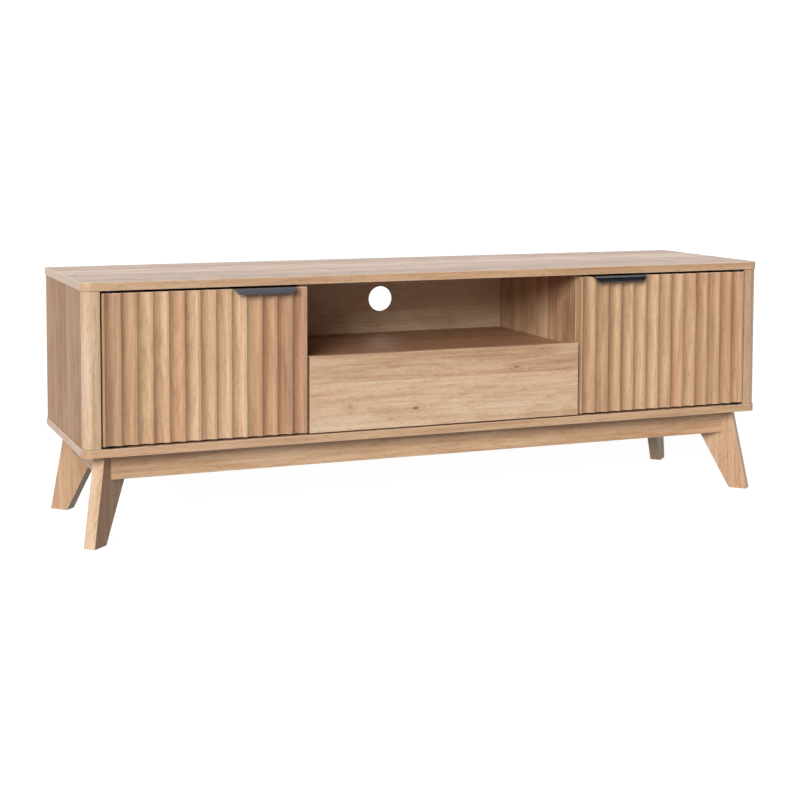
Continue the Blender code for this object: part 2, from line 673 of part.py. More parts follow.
def make_runner(side, sign, member):
    """One channel of a telescopic runner, lying along Y between divider and drawer."""
    web = RUNNER_WEBS[member]
    lip = RUNNER_LIPS[member]
    inside = web + math.copysign(RUNNER_GAUGE, lip - web)
    half = RUNNER_HEIGHTS[member] / 2
    thin = half - RUNNER_GAUGE
    points = [(web, -half), (lip, -half), (lip, -thin), (inside, -thin)]
    points += [(inside, thin), (lip, thin), (lip, half), (web, half)]
    points = [(sign * (DIVIDER_INNER_X - across), z) for across, z in points]
    made = outline_board(f"{side}_runner_{member}", points, RUNNER_BACK_Y - RUNNER_FRONT_Y, ZINC)
    made.rotation_euler.x = math.radians(90)
    made.location = (0, (RUNNER_FRONT_Y + RUNNER_BACK_Y) / 2, DRAWER_BOX_Z + RUNNER_LIFT)
    return as_mesh(made)


def make_drawer_and_runners():
    pieces = make_drawer()
    middles = []
    for side, sign in SIDES:
        make_runner(side, sign, "outer")
        middles.append(make_runner(side, sign, "middle"))
        pieces.append(make_runner(side, sign, "inner"))
    ride(joint_axis("drawer_axis", (0, FRONT_Y, DRAWER_BOX_Z)), pieces)
    ride(joint_axis("runner_axis", (0, DIVIDER_FRONT_Y, DRAWER_BOX_Z + RUNNER_LIFT)), middles)


# ---- assembly ----------------------------------------------------------------------
top_panel, bottom_panel = make_carcass()
make_doors(top_panel, bottom_panel)
make_drawer_and_runners()
for end, sign_y in (("front", -1), ("rear", 1)):
    for side, sign_x in SIDES:
        make_leg(f"{end}_{side}_leg", sign_x, sign_y)
make_aprons()
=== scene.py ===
"""The looks of a low oak television stand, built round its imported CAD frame."""

import math

import bmesh
import bpy
from mathutils import Matrix, Vector


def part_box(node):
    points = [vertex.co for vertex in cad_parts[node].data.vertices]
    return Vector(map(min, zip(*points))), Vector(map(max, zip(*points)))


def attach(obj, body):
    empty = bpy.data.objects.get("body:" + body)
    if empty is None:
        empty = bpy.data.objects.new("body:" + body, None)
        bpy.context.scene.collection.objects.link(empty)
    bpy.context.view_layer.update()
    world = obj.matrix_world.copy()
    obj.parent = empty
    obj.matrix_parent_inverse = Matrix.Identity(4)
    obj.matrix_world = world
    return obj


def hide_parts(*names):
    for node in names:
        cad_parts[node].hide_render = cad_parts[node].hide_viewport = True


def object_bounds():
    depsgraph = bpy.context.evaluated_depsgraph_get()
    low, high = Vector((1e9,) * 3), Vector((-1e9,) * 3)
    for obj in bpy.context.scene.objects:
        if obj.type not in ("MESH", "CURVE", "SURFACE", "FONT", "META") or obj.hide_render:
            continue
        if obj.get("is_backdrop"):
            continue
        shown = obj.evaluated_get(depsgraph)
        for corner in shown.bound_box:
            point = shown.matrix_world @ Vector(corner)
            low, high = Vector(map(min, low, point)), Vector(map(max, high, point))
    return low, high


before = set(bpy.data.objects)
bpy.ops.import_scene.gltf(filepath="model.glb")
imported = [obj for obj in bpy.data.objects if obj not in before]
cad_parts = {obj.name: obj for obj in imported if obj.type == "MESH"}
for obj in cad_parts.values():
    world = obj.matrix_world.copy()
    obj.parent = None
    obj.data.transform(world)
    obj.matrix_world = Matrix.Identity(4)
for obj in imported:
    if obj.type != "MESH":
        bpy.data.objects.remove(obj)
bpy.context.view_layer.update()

# ---- values that belong to the looks; lengths are in metres --------------------------
ARRIS = 0.0009           # rounded arris of a foiled board
ARRIS_STEPS = 3
DOOR_ARRIS = 0.0006
STILE_ARRIS = 0.0003
STILE_ARRIS_STEPS = 2
BACK_ARRIS = 0.0003
BOARD_ARRIS = 0.0006     # of the CAD boards that stay
FITTING_ARRIS = 0.0002   # of the CAD fittings that stay
CORNER_RADIUS = 0.020    # front corners of the top and bottom boards
CORNER_STEPS = 20
JOINT = 0.0004           # extra shadow line at both ends of a stile
CABLE_HOLE_DIAMETER = 0.056
CABLE_HOLE_STEPS = 72

FLUTE_COUNT = 13
FLUTE_DEPTH = 0.005
FLUTE_RIDGE = 0.005      # flat strip between two flutes
FLUTE_LAND = 0.0045      # flat strip at both edges of a door
FLUTE_STEPS = 14
RIDGE_TOP = 0.0001       # faces this close to a door's front are its ridges
RIDGE_ROUND = 0.0005     # how far the rounded edge of a ridge reaches over it
RIDGE_STEPS = 6

HANDLE_THICKNESS = 0.0015
HANDLE_CUT = 0.0085      # lower corners of the handle's lip
HANDLE_BEND = 0.006
HANDLE_BEND_STEPS = 12
HANDLE_COLUMNS = 4
HANDLE_ROW = 0.0002      # rows closer than this are one
HANDLE_ARRIS = 0.0004

SCREW_RADIUS = 0.0032
SCREW_SIDES = 24
SCREW_FLAT = 0.0024      # radius of the flat on the head
SCREW_RIM = 0.0001       # how deep the rim sits in the face
SCREW_RISE = 0.00022     # how far the flat stands off the face
CROSS_ARM = 0.0015
CROSS_HALF_WIDTH = 0.0004
CROSS_FLOOR = -0.00005
CROSS_TAPER = 0.8
STRIKE_SCREWS = (0.2, 0.8)              # places along the plate, as parts of its length
CATCH_SCREWS = (0.16, 0.84)
RUNNER_SCREWS = (0.06, 0.45, 0.84)
RUNNER_GAUGE = 0.0012    # sheet thickness of the runners

# the camera stands where the photographer did; its angles are in radians
CAMERA_PLACE = (-1.3143, -3.1742, 0.7824)
CAMERA_PITCH, CAMERA_ROLL, CAMERA_YAW = -0.0703, -0.00228, 0.38415
CAMERA_LENS = 72.06
CAMERA_SENSOR = 36.0
CAMERA_SHIFT = -0.1875
FLOOR_REACH = 60.0

PRISM_SHARP_ANGLE = math.radians(40)
SHARP_ANGLE = math.radians(30)
BEVEL_ANGLE = math.radians(35)
SAME_POINT = 0.00001     # points this close are one

SIDES = (("left", -1), ("right", 1))


# ---- node graphs ---------------------------------------------------------------------
class Graph:
    """One material's nodes. node and noise give back a node, the sums an output socket."""

    def __init__(self, name):
        self.material = bpy.data.materials.new(name)
        self.material.use_nodes = True
        self.tree = self.material.node_tree
        self.shader = self.tree.nodes["Principled BSDF"]

    def node(self, kind, inputs, **settings):
        made = self.tree.nodes.new("ShaderNode" + kind)
        for key, value in settings.items():
            setattr(made, key, value)
        for key, value in inputs.items():
            self.feed(made.inputs[key], value)
        return made

    def feed(self, socket, value):
        if isinstance(value, bpy.types.NodeSocket):
            self.tree.links.new(value, socket)
        else:
            socket.default_value = value

    def math(self, operation, first, second=0.0):
        return self.node("Math", {0: first, 1: second}, operation=operation).outputs[0]

    def add(self, first, second):
        return self.math("ADD", first, second)

    def minus(self, first, second):
        return self.math("SUBTRACT", first, second)

    def times(self, first, second):
        return self.math("MULTIPLY", first, second)

    def over(self, first, second):
        return self.math("DIVIDE", first, second)

    def place(self):
        """Object coordinates, which are the stand's own at rest."""
        return self.node("TexCoord", {}).outputs["Object"]

    def vector(self, x, y, z):
        return self.node("CombineXYZ", {0: x, 1: y, 2: z}).outputs[0]

    def parts(self, vector):
        return list(self.node("SeparateXYZ", {0: vector}).outputs)

    def stretch(self, place, along, length, width):
        """Coordinates for marks drawn out along one axis, in repeats per metre."""
        return self.vector(*[self.times(part, length if axis == along else width)
                             for axis, part in zip("XYZ", self.parts(place))])

    def noise(self, place, detail=2.0, roughness=0.5, scale=1.0):
        inputs = {"Vector": place, "Scale": scale, "Detail": detail, "Roughness": roughness}
        return self.node("TexNoise", inputs)

    def ramp(self, value, low, high, start=0.0, end=1.0):
        """Smooth step of a value between low and high, given out as start to end."""
        inputs = {0: value, 1: low, 2: high, 3: start, 4: end}
        return self.node("MapRange", inputs, interpolation_type="SMOOTHSTEP").outputs[0]

    def mix(self, factor, first, second, mode="MIX"):
        inputs = {0: factor, 6: first, 7: second}
        return self.node("Mix", inputs, data_type="RGBA", blend_type=mode).outputs[2]

    def colours(self, value, stops):
        """A colour ramp with a (place, colour) pair for each stop."""
        made = self.node("ValToRGB", {0: value})
        elements = made.color_ramp.elements
        while len(elements) < len(stops):
            elements.new(1.0)
        for element, (place, colour) in zip(elements, stops):
            element.position = place
            element.color = colour
        return made.outputs[0]

    def bump(self, height, distance, strength):
        """Relief for the whole surface; distance is in metres."""
        inputs = {"Height": height, "Distance": distance, "Strength": strength}
        self.feed(self.shader.inputs["Normal"], self.node("Bump", inputs).outputs[0])

    def set(self, **values):
        """Plain numbers and colours on the shader's own sockets."""
        for key, value in values.items():
            self.shader.inputs[key.replace("_", " ")].default_value = value


def shade(red, green, blue):
    """A colour given as screen values from 0 to 255, as the shader wants it."""
    return tuple((v / 255 / 12.92) if v < 11 else ((v / 255 + 0.055) / 1.055) ** 2.4
                 for v in (red, green, blue)) + (1.0,)


# colours of the oak foil, from its palest to its brownest, what tints it, and what lies in it; among
# them the pale colour of the painted highlight on rounded edges and ridges, and the dark colour of
# the painted shade on the inward faces of legs
PALE, HONEY, TAN, BROWN = (shade(222, 196, 166), shade(209, 177, 144), shade(190, 153, 119),
                           shade(158, 118, 88))
REDDISH, AMBER, PAINTED_HIGHLIGHT = shade(255, 226, 214), shade(249, 242, 233), shade(244, 222, 192)
PORE, SPECK, KNOT, PAINTED_SHADE = (shade(112, 76, 50), shade(146, 104, 70), shade(104, 68, 46),
                            shade(96, 66, 48))
WHITE, BLACK = (1.0, 1.0, 1.0, 1.0), (0.0, 0.0, 0.0, 1.0)

RING_PITCH = 0.0075      # between two growth rings
KNOT_SWELL = 0.014       # how far a knot pushes the rings aside
BROAD_SHADE_LEVEL, NARROW_LIGHT_LEVEL = 0.16, -0.30     # painted shade on a leg's broad faces and painted light on its narrow faces
AXES = {"X": 0, "Y": 1, "Z": 2}


def grain_space(g, along, across):
    """Object coordinates turned into along the grain, across the face, and through it."""
    xyz = g.parts(g.place())
    through = ({"X", "Y", "Z"} - {along, across}).pop()
    return xyz[AXES[along]], xyz[AXES[across]], xyz[AXES[through]]


def cut_staves(g, v, stave, seed, joint):
    """Staves of uneven width, each with random numbers of its own.

    Gives the random number node and the distance from the middle of the stave."""
    drift = g.noise(g.vector(g.times(v, 9.0), seed, 0.0), 1.0).outputs[0]
    place = g.add(g.over(v, stave), g.add(g.times(drift, 1.6), seed * 1.37))
    if joint:
        place = g.over(g.minus(v, joint[0]), stave)
    index = g.math("FLOOR", place)
    chance = g.node("TexWhiteNoise", {"W": g.add(index, seed)}, noise_dimensions="1D")
    return chance, g.times(g.minus(g.minus(place, index), 0.5), stave)


def find_knots(g, u, v, w, run, knots, marks):
    """Chance knots and the single marks: how strongly each swells, and its dark core.

    marks holds (along, across, length, width) for each single one."""
    cells = g.vector(g.times(run, 2.4), g.times(v, 7.5), g.times(w, 2.0))
    knot = g.node("TexVoronoi", {"Vector": cells, "Scale": 1.0, "Randomness": 0.85})
    lucky = g.math("GREATER_THAN", g.parts(knot.outputs[1])[0], 0.62)
    ragged = g.noise(g.vector(g.times(run, 30.0), g.times(v, 110.0), w), 3.0).outputs[0]
    away = g.add(knot.outputs[0], g.times(ragged, 0.09))
    swell = g.times(g.ramp(away, 0.34, 0.05), g.times(lucky, knots))
    core = g.times(g.ramp(away, 0.115, 0.05), g.times(lucky, knots))
    for along_at, across_at, long, wide in marks:
        offset = g.vector(g.over(g.minus(u, along_at), long),
                          g.over(g.minus(v, across_at), wide), 0.0)
        far = g.node("VectorMath", {0: offset}, operation="LENGTH").outputs["Value"]
        far = g.add(far, g.times(ragged, 1.1))
        swell = g.math("MAXIMUM", swell, g.ramp(far, 4.0, 0.8))
        core = g.math("MAXIMUM", core, g.ramp(far, 1.35, 0.75))
    return swell, core


def cut_rings(g, v, w, run, lot, in_stave, swell, fine):
    """Late wood of growth rings cut at a shallow angle, which gives arches along a board."""
    wander = g.parts(g.noise(g.vector(g.times(run, 2.2), g.times(v, 8.0), g.times(w, 8.0)),
                             2.0).outputs[1])
    slope = g.times(g.minus(lot[1], 0.5), 0.16)
    sideways = g.add(in_stave, g.times(g.minus(wander[0], 0.5), 0.050))
    depth = g.add(g.add(w, g.times(lot[2], 0.030)),
                  g.add(g.times(slope, run), g.times(g.minus(wander[1], 0.5), 0.045)))
    radius = g.math("SQRT", g.add(g.times(sideways, sideways), g.times(depth, depth)))
    radius = g.add(radius, g.times(swell, KNOT_SWELL))
    ring = g.math("FRACT", g.add(g.over(radius, RING_PITCH), g.times(fine, 0.9)))
    return g.times(g.ramp(ring, 0.25, 0.85), g.ramp(ring, 1.0, 0.88))


def oak(name, along, across, seed, stave=0.075, tone=0.0, spread=1.0, highlight_amount=0.0,
        knots=1.0, middle=None, warmth=0.0, red=0.5, gloss=0.0, joint=None, marks=(),
        edge_sign=0, ripe=0.0):
    """Oak foil: staves side by side, each with its own arched figure, streaks and pores.

    tone moves the whole board from pale towards brown. middle is the pair (centre, half
    width) of a door, across its grain, whose tone gets warmer by warmth at its edges. joint
    is the pair (place of one stave's edge, how much browner the stave above it is). marks
    are single knots: (along, across, length, width). edge_sign is for a plank on a diagonal:
    the sign of x times y on the normals of its narrow faces, which get painted light (paler)
    while the broad faces get painted shade (browner); where it is negative, the narrow face
    that looks inwards gets a darker painted shade. ripe adds a little amber.
    Numbers that noises are scaled by are repeats per metre."""
    g = Graph(name)
    # u runs along the grain, v across the face and w through it; run starts elsewhere on
    # each stave, so that no two staves have the same figure
    u, v, w = grain_space(g, along, across)
    chance, in_stave = cut_staves(g, v, stave, seed, joint)
    lot = g.parts(chance.outputs[1])
    run = g.add(u, g.times(lot[0], 7.0))

    def streaks(length, width, detail, roughness=0.5):
        """Noise drawn out along the grain; both numbers are repeats per metre."""
        return g.noise(g.vector(g.times(run, length), g.times(v, width), g.times(w, width)),
                       detail, roughness).outputs[0]

    swell, core = find_knots(g, u, v, w, run, knots, marks)
    fine = streaks(5.0, 130.0, 5.0, 0.65)
    late = cut_rings(g, v, w, run, lot, in_stave, swell, fine)
    broad = streaks(1.1, 26.0, 3.0, 0.6)
    cloud = streaks(3.5, 11.0, 2.0)
    pores = g.times(g.ramp(streaks(75.0, 900.0, 1.0), 0.56, 0.70),
                    g.ramp(late, 0.0, 1.0, 0.45, 1.0))
    speck = streaks(45.0, 230.0, 2.0, 0.6)

    # tone along the ramp from pale to brown
    level = g.times(g.minus(chance.outputs[0], 0.5), 0.40 * spread)
    level = g.add(level, g.times(g.minus(broad, 0.5), 1.0 * spread))
    level = g.add(level, g.times(g.minus(cloud, 0.5), 0.55))
    level = g.add(level, g.times(g.minus(fine, 0.5), 1.05))
    level = g.add(level, g.times(late, 0.11 * spread))
    level = g.add(level, g.times(swell, 0.12))
    if middle:
        centre, half = middle
        off = g.over(g.minus(g.math("ABSOLUTE", v), centre), half)
        level = g.add(level, g.times(g.times(off, off), warmth))
    if joint:
        above = g.math("GREATER_THAN", v, joint[0])
        level = g.add(level, g.times(above, joint[1]))
    # painted light and shade: a leg's narrow faces are painted paler and its broad faces browner, by
    # which way each face looks
    if edge_sign:
        normal = g.parts(g.node("TexCoord", {}).outputs["Normal"])
        narrow = g.times(g.times(normal[0], normal[1]), edge_sign)
        level = g.add(level, g.ramp(narrow, -0.20, 0.20, BROAD_SHADE_LEVEL, NARROW_LIGHT_LEVEL))
    level = g.add(level, 0.40 + tone)
    colour = g.colours(level, ((0.00, PALE), (0.30, HONEY), (0.60, TAN), (1.00, BROWN)))

    # what lies over the tone
    reddish = g.noise(g.vector(g.times(run, 0.7), g.times(v, 17.0), g.add(w, 3.3)),
                      2.0, 0.5).outputs[0]
    colour = g.mix(g.ramp(reddish, 0.40, 0.75, 0.0, red), colour, REDDISH, "MULTIPLY")
    # painted shade: the narrow face of a leg that looks inwards, under the cabinet, is painted dark
    if edge_sign < 0:
        side_of_stand = g.math("SIGN", g.parts(g.place())[0])
        outward = g.times(normal[0], side_of_stand)
        inner = g.times(g.ramp(narrow, 0.0, 0.20), g.ramp(outward, -0.20, -0.50))
        colour = g.mix(g.times(inner, 0.65), colour, PAINTED_SHADE)
    if ripe:
        colour = g.mix(ripe, colour, AMBER, "MULTIPLY")
    colour = g.mix(g.times(pores, 0.44), colour, PORE)
    colour = g.mix(g.ramp(speck, 0.48, 0.75, 0.0, 0.22), colour, SPECK)
    colour = g.mix(g.times(core, 0.70), colour, KNOT)
    # painted highlight: a pale wash over rounded arrises and door ridges, where light catches the
    # edge
    if highlight_amount:
        colour = g.mix(highlight_amount, colour, PAINTED_HIGHLIGHT)
    g.feed(g.shader.inputs["Base Color"], colour)
    rough = g.add(0.43 - gloss, g.add(g.times(fine, 0.12), g.times(pores, 0.12)))
    g.feed(g.shader.inputs["Roughness"], rough)
    height = g.minus(g.times(fine, 0.35), g.add(pores, g.times(late, 0.15)))
    g.bump(height, 0.00025, 0.45)
    g.set(IOR=1.47)
    return g.material


def painted_metal(name):
    """Satin black coating with a fine orange peel, rubbed thinner here and there."""
    g = Graph(name)
    place = g.place()
    peel = g.noise(place, 2.0, 0.5, 1500.0).outputs[0]
    rub = g.noise(place, 4.0, 0.6, 60.0).outputs[0]
    colour = g.mix(g.ramp(rub, 0.35, 0.75), shade(11, 12, 16), shade(18, 19, 25))
    g.feed(g.shader.inputs["Base Color"], colour)
    g.feed(g.shader.inputs["Roughness"], g.add(0.15, g.times(rub, 0.16)))
    g.bump(peel, 0.00006, 0.30)
    g.set(Metallic=0.0, IOR=1.85, Specular_Tint=(0.86, 0.90, 1.0, 1.0))
    return g.material


def zinc_steel(name, along):
    """Zinc plate with rolling marks along one axis and dull patches."""
    g = Graph(name)
    place = g.place()
    stretched = g.stretch(place, along, 40.0, 900.0)
    marks = g.noise(stretched, 3.0, 0.6).outputs[0]
    patches = g.noise(place, 4.0, 0.6, 90.0).outputs[0]
    colour = g.mix(g.ramp(patches, 0.35, 0.70), shade(176, 180, 184), shade(206, 208, 208))
    colour = g.mix(g.ramp(marks, 0.55, 0.80, 0.0, 0.35), colour, shade(140, 144, 150))
    g.feed(g.shader.inputs["Base Color"], colour)
    g.feed(g.shader.inputs["Roughness"], g.add(0.22, g.times(patches, 0.25)))
    g.bump(marks, 0.00008, 0.35)
    g.set(Metallic=1.0)
    return g.material


def matt_black(name, colour, shine):
    """Black moulding or plating with a fine spark texture."""
    g = Graph(name)
    place = g.place()
    grit = g.noise(place, 3.0, 0.7, 2200.0).outputs[0]
    haze = g.noise(place, 3.0, 0.5, 45.0).outputs[0]
    lighter = tuple(min(1.0, c * 1.8) for c in colour[:3]) + (1.0,)
    g.feed(g.shader.inputs["Base Color"], g.mix(g.ramp(haze, 0.3, 0.7), colour, lighter))
    g.feed(g.shader.inputs["Roughness"], g.add(0.40, g.times(grit, 0.25)))
    g.bump(grit, 0.00005, 0.5)
    g.set(Specular_IOR_Level=shine)
    return g.material


def drawer_board(name, along):
    """Pale melamine of the drawer box, with a faint linear print."""
    g = Graph(name)
    place = g.place()
    lines = g.noise(g.stretch(place, along, 6.0, 240.0), 4.0, 0.6).outputs[0]
    grit = g.noise(place, 3.0, 0.6, 900.0).outputs[0]
    colour = g.mix(g.ramp(lines, 0.35, 0.70), shade(222, 214, 200), shade(203, 190, 172))
    colour = g.mix(g.ramp(grit, 0.55, 0.75, 0.0, 0.10), colour, shade(160, 144, 124))
    g.feed(g.shader.inputs["Base Color"], colour)
    g.feed(g.shader.inputs["Roughness"], g.add(0.36, g.times(lines, 0.18)))
    g.bump(g.add(g.times(lines, 0.5), g.times(grit, 0.5)), 0.00008, 0.35)
    return g.material


DOOR_LOOK = {"middle": (0.5085, 0.203), "warmth": 0.20, "red": 0.30, "ripe": 1.0}
PLAIN = {"spread": 0.6, "knots": 0.0, "gloss": 0.20}
MATERIALS = {
    "top": oak("oak_top", "X", "Y", 3.1, 0.110, 0.12, spread=1.8, red=0.90, gloss=0.12),
    "band": oak("oak_band", "X", "Z", 17.2, 0.200, 0.02, ripe=1.0, **PLAIN),
    "bottom": oak("oak_bottom", "X", "Y", 8.4, 0.110, 0.20),
    "side": oak("oak_side", "Z", "Y", 5.7, 0.062, 0.40, gloss=-0.15),
    "divider": oak("oak_divider", "Z", "Y", 12.2, 0.080, 0.22, red=0.2),
    "stile": oak("oak_stile", "Z", "X", 21.0, 0.200, 0.02, red=0.3, **PLAIN),
    "door": oak("oak_door", "Z", "X", 30.6, 0.060, 0.08, **DOOR_LOOK),
    "ridge": oak("oak_ridge", "Z", "X", 30.6, 0.060, 0.08, highlight_amount=0.10, gloss=0.12, **DOOR_LOOK),
    "drawer": oak("oak_drawer", "X", "Z", 41.3, 0.160, 0.04, red=0.3, joint=(0.292, 0.22),
                  marks=((-0.072, 0.232, 0.011, 0.005), (0.155, 0.305, 0.010, 0.004),
                         (-0.215, 0.243, 0.006, 0.005))),
    "shelf": oak("oak_shelf", "X", "Y", 52.9, 0.120, 0.45, red=0.5),
    "inner_shelf": oak("oak_inner_shelf", "X", "Y", 58.2, 0.120, 0.05),
    "back": oak("oak_back", "X", "Z", 63.5, 0.100, -0.32, red=0.2, gloss=-0.12),
    "apron": oak("oak_apron", "X", "Z", 74.8, 0.200, 0.13, spread=0.8, ripe=1.0),
    "end_apron": oak("oak_end_apron", "Y", "Z", 76.8, 0.200, 0.20, spread=0.8),
    "leg_left": oak("oak_leg_left", "Z", "X", 85.2, 0.200, 0.0, spread=0.8, knots=0.0,
                    edge_sign=1),
    "leg_right": oak("oak_leg_right", "Z", "X", 88.3, 0.200, 0.0, spread=0.8, knots=0.0,
                     edge_sign=-1),
    # the rounded arrises carry a painted highlight
    "arris_x": oak("oak_arris_x", "X", "Y", 91.0, 0.300, highlight_amount=0.50, **PLAIN),
    "arris_z": oak("oak_arris_z", "Z", "X", 97.0, 0.300, highlight_amount=0.75, **PLAIN),
    "handle": painted_metal("handle_black"),
    "black_steel": matt_black("black_steel", shade(10, 10, 10), 0.08),
    "zinc_x": zinc_steel("zinc_steel_x", "X"),
    "zinc_y": zinc_steel("zinc_steel_y", "Y"),
    "nylon": matt_black("black_nylon", shade(30, 30, 31), 0.40),
    "box_x": drawer_board("drawer_board_x", "X"),
    "box_y": drawer_board("drawer_board_y", "Y"),
}


# ---- mesh building -------------------------------------------------------------------
def put(name, data):
    """A new object of the scene, for a mesh, a curve, a light or a camera."""
    made = bpy.data.objects.new(name, data)
    bpy.context.scene.collection.objects.link(made)
    return made


def mesh_of(name, shape):
    """A new mesh made from a bmesh, which is let go."""
    mesh = bpy.data.meshes.new(name)
    shape.to_mesh(mesh)
    shape.free()
    mesh.shade_smooth()
    return mesh


def bevel(made, name, width, segments):
    """A modifier that rounds every edge sharper than BEVEL_ANGLE."""
    edge = made.modifiers.new(name, "BEVEL")
    edge.width = width
    edge.segments = segments
    edge.limit_method = "ANGLE"
    edge.angle_limit = BEVEL_ANGLE
    return edge


def inset(points, amount):
    """An anticlockwise outline moved inwards."""
    moved = []
    for number, here in enumerate(points):
        before, after = points[number - 1], points[(number + 1) % len(points)]
        first, second = (here - before).normalized(), (after - here).normalized()
        first, second = Vector((-first.y, first.x)), Vector((-second.y, second.x))
        way = (first + second).normalized()
        moved.append(here + way * (amount / max(way.dot(first), 0.4)))
    return moved


def anticlockwise(points):
    """The same outline as vectors, with its inside on the left."""
    points = [Vector(p) for p in points]
    area = sum(a.x * b.y - b.x * a.y for a, b in zip(points, points[1:] + points[:1]))
    return points if area > 0 else points[::-1]


def prism(name, outline, low, high, finishes, arris=ARRIS, steps=ARRIS_STEPS, wall_finish=None):
    """An upright prism with a rounded arris round both ends.

    Its ends take finish 0 and the arris faces 1. A wall takes finish 0 too, or the number
    that wall_finish gives for its two lower corners."""
    outline = anticlockwise(outline)
    levels = []
    for step in range(steps + 1):
        angle = math.radians(90 * step / steps)
        levels.append((arris * (1 - math.sin(angle)), low + arris * (1 - math.cos(angle))))
    levels += [(amount, high + low - z) for amount, z in reversed(levels)]
    shape = bmesh.new()
    rings = []
    for amount, z in levels:
        ring = inset(outline, amount) if amount > 0 else outline
        rings.append([shape.verts.new((p.x, p.y, z)) for p in ring])
    shape.faces.new(rings[0][::-1])
    shape.faces.new(rings[-1])
    for number, (below, above) in enumerate(zip(rings, rings[1:])):
        for i in range(len(below)):
            j = (i + 1) % len(below)
            face = shape.faces.new((below[i], below[j], above[j], above[i]))
            face.material_index = 1
            if number == steps:
                ends = (below[i].co, below[j].co)
                face.material_index = wall_finish(*ends) if wall_finish else 0
    mesh = mesh_of(name, shape)
    mesh.set_sharp_from_angle(angle=PRISM_SHARP_ANGLE)
    made = put(name, mesh)
    for finish in finishes:
        mesh.materials.append(MATERIALS[finish])
    flat = made.modifiers.new("flat faces", "WEIGHTED_NORMAL")
    flat.keep_sharp = True
    return made


def arc(centre, radius, start, end, steps):
    """Points on a circle between two angles in degrees."""
    points = []
    for step in range(steps + 1):
        angle = math.radians(start + (end - start) * step / steps)
        points.append((centre[0] + radius * math.cos(angle),
                       centre[1] + radius * math.sin(angle)))
    return points


def settle(piece, body, slot, *nodes):
    """Hangs a new piece under its body and hides the CAD nodes it stands for; its finish, slot, is
    not used.
    """
    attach(piece, body)
    if nodes:
        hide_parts(*nodes)
    return piece


# ---- top and bottom boards -----------------------------------------------------------
def make_board(name, node, finish):
    """A board with rounded front corners and an edge band all round."""
    low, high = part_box(node)
    inner_x, inner_y = high.x - CORNER_RADIUS, low.y + CORNER_RADIUS
    points = [(high.x, high.y), (low.x, high.y)]
    points += arc((-inner_x, inner_y), CORNER_RADIUS, 180, 270, CORNER_STEPS)
    points += arc((inner_x, inner_y), CORNER_RADIUS, 270, 360, CORNER_STEPS)
    board = prism(name, points, low.z, high.z, (finish, "arris_x", "band"),
                  wall_finish=lambda start, end: 2)
    settle(board, "cabinet", "oak_veneer", node)


make_board("top_board", "top_panel", "top")
make_board("bottom_board", "bottom_panel", "bottom")


def make_stile(side, sign):
    """The rounded post beside a door; sign is the side of the stand it is on."""
    low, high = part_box(f"{side}_front_stile")
    outer, inner = (low.x, high.x) if sign < 0 else (high.x, low.x)
    radius = high.y - low.y
    centre = (abs(outer) - radius, high.y)
    points = arc(centre, radius, 0, -90, CORNER_STEPS)
    points += [(abs(inner), low.y), (abs(inner), high.y)]
    points = [(sign * x, y) for x, y in points]
    stile = prism(f"{side}_stile", points, low.z + JOINT, high.z - JOINT, ("stile", "stile"),
                  STILE_ARRIS, STILE_ARRIS_STEPS)
    settle(stile, "cabinet", "oak_veneer", f"{side}_front_stile")


for side, sign in SIDES:
    make_stile(side, sign)


# ---- doors ---------------------------------------------------------------------------
def flute_line(width):
    """Depth behind the front at each distance across a door."""
    flutes_width = width - 2 * FLUTE_LAND - (FLUTE_COUNT - 1) * FLUTE_RIDGE
    cove = flutes_width / FLUTE_COUNT
    half = cove / 2
    radius = (half ** 2 + FLUTE_DEPTH ** 2) / (2 * FLUTE_DEPTH)

    def depth_at(s):
        return max(0.0, math.sqrt(radius ** 2 - (s - half) ** 2) - (radius - FLUTE_DEPTH))

    slope = half / (radius - FLUTE_DEPTH)
    edge = [-RIDGE_ROUND + 2 * RIDGE_ROUND * t / RIDGE_STEPS for t in range(RIDGE_STEPS + 1)]
    points = [(0.0, 0.0)]
    for flute in range(FLUTE_COUNT):
        start = FLUTE_LAND + flute * (cove + FLUTE_RIDGE)
        rounded = [(s, slope * (s + RIDGE_ROUND) ** 2 / (4 * RIDGE_ROUND)) for s in edge]
        hollow = [RIDGE_ROUND + (cove - 2 * RIDGE_ROUND) * t / FLUTE_STEPS
                  for t in range(1, FLUTE_STEPS)]
        points += [(start + s, depth) for s, depth in rounded]
        points += [(start + s, depth_at(s)) for s in hollow]
        points += [(start + cove - s, depth) for s, depth in reversed(rounded)]
    points.append((width, 0.0))
    return points


def make_door(side):
    """A fluted door, whose ridges take a finish of their own."""
    low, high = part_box(f"{side}_door_panel")
    points = [(low.x + s, low.y + d) for s, d in flute_line(high.x - low.x)]
    points += [(high.x, high.y), (low.x, high.y)]
    front = low.y + RIDGE_TOP
    door = prism(f"{side}_door", points, low.z, high.z, ("door", "arris_z", "ridge"), DOOR_ARRIS,
                 wall_finish=lambda start, end: 2 if max(start.y, end.y) < front else 0)
    settle(door, f"{side}_door", "oak_fluted", f"{side}_door_panel")


for side, sign in SIDES:
    make_door(side)


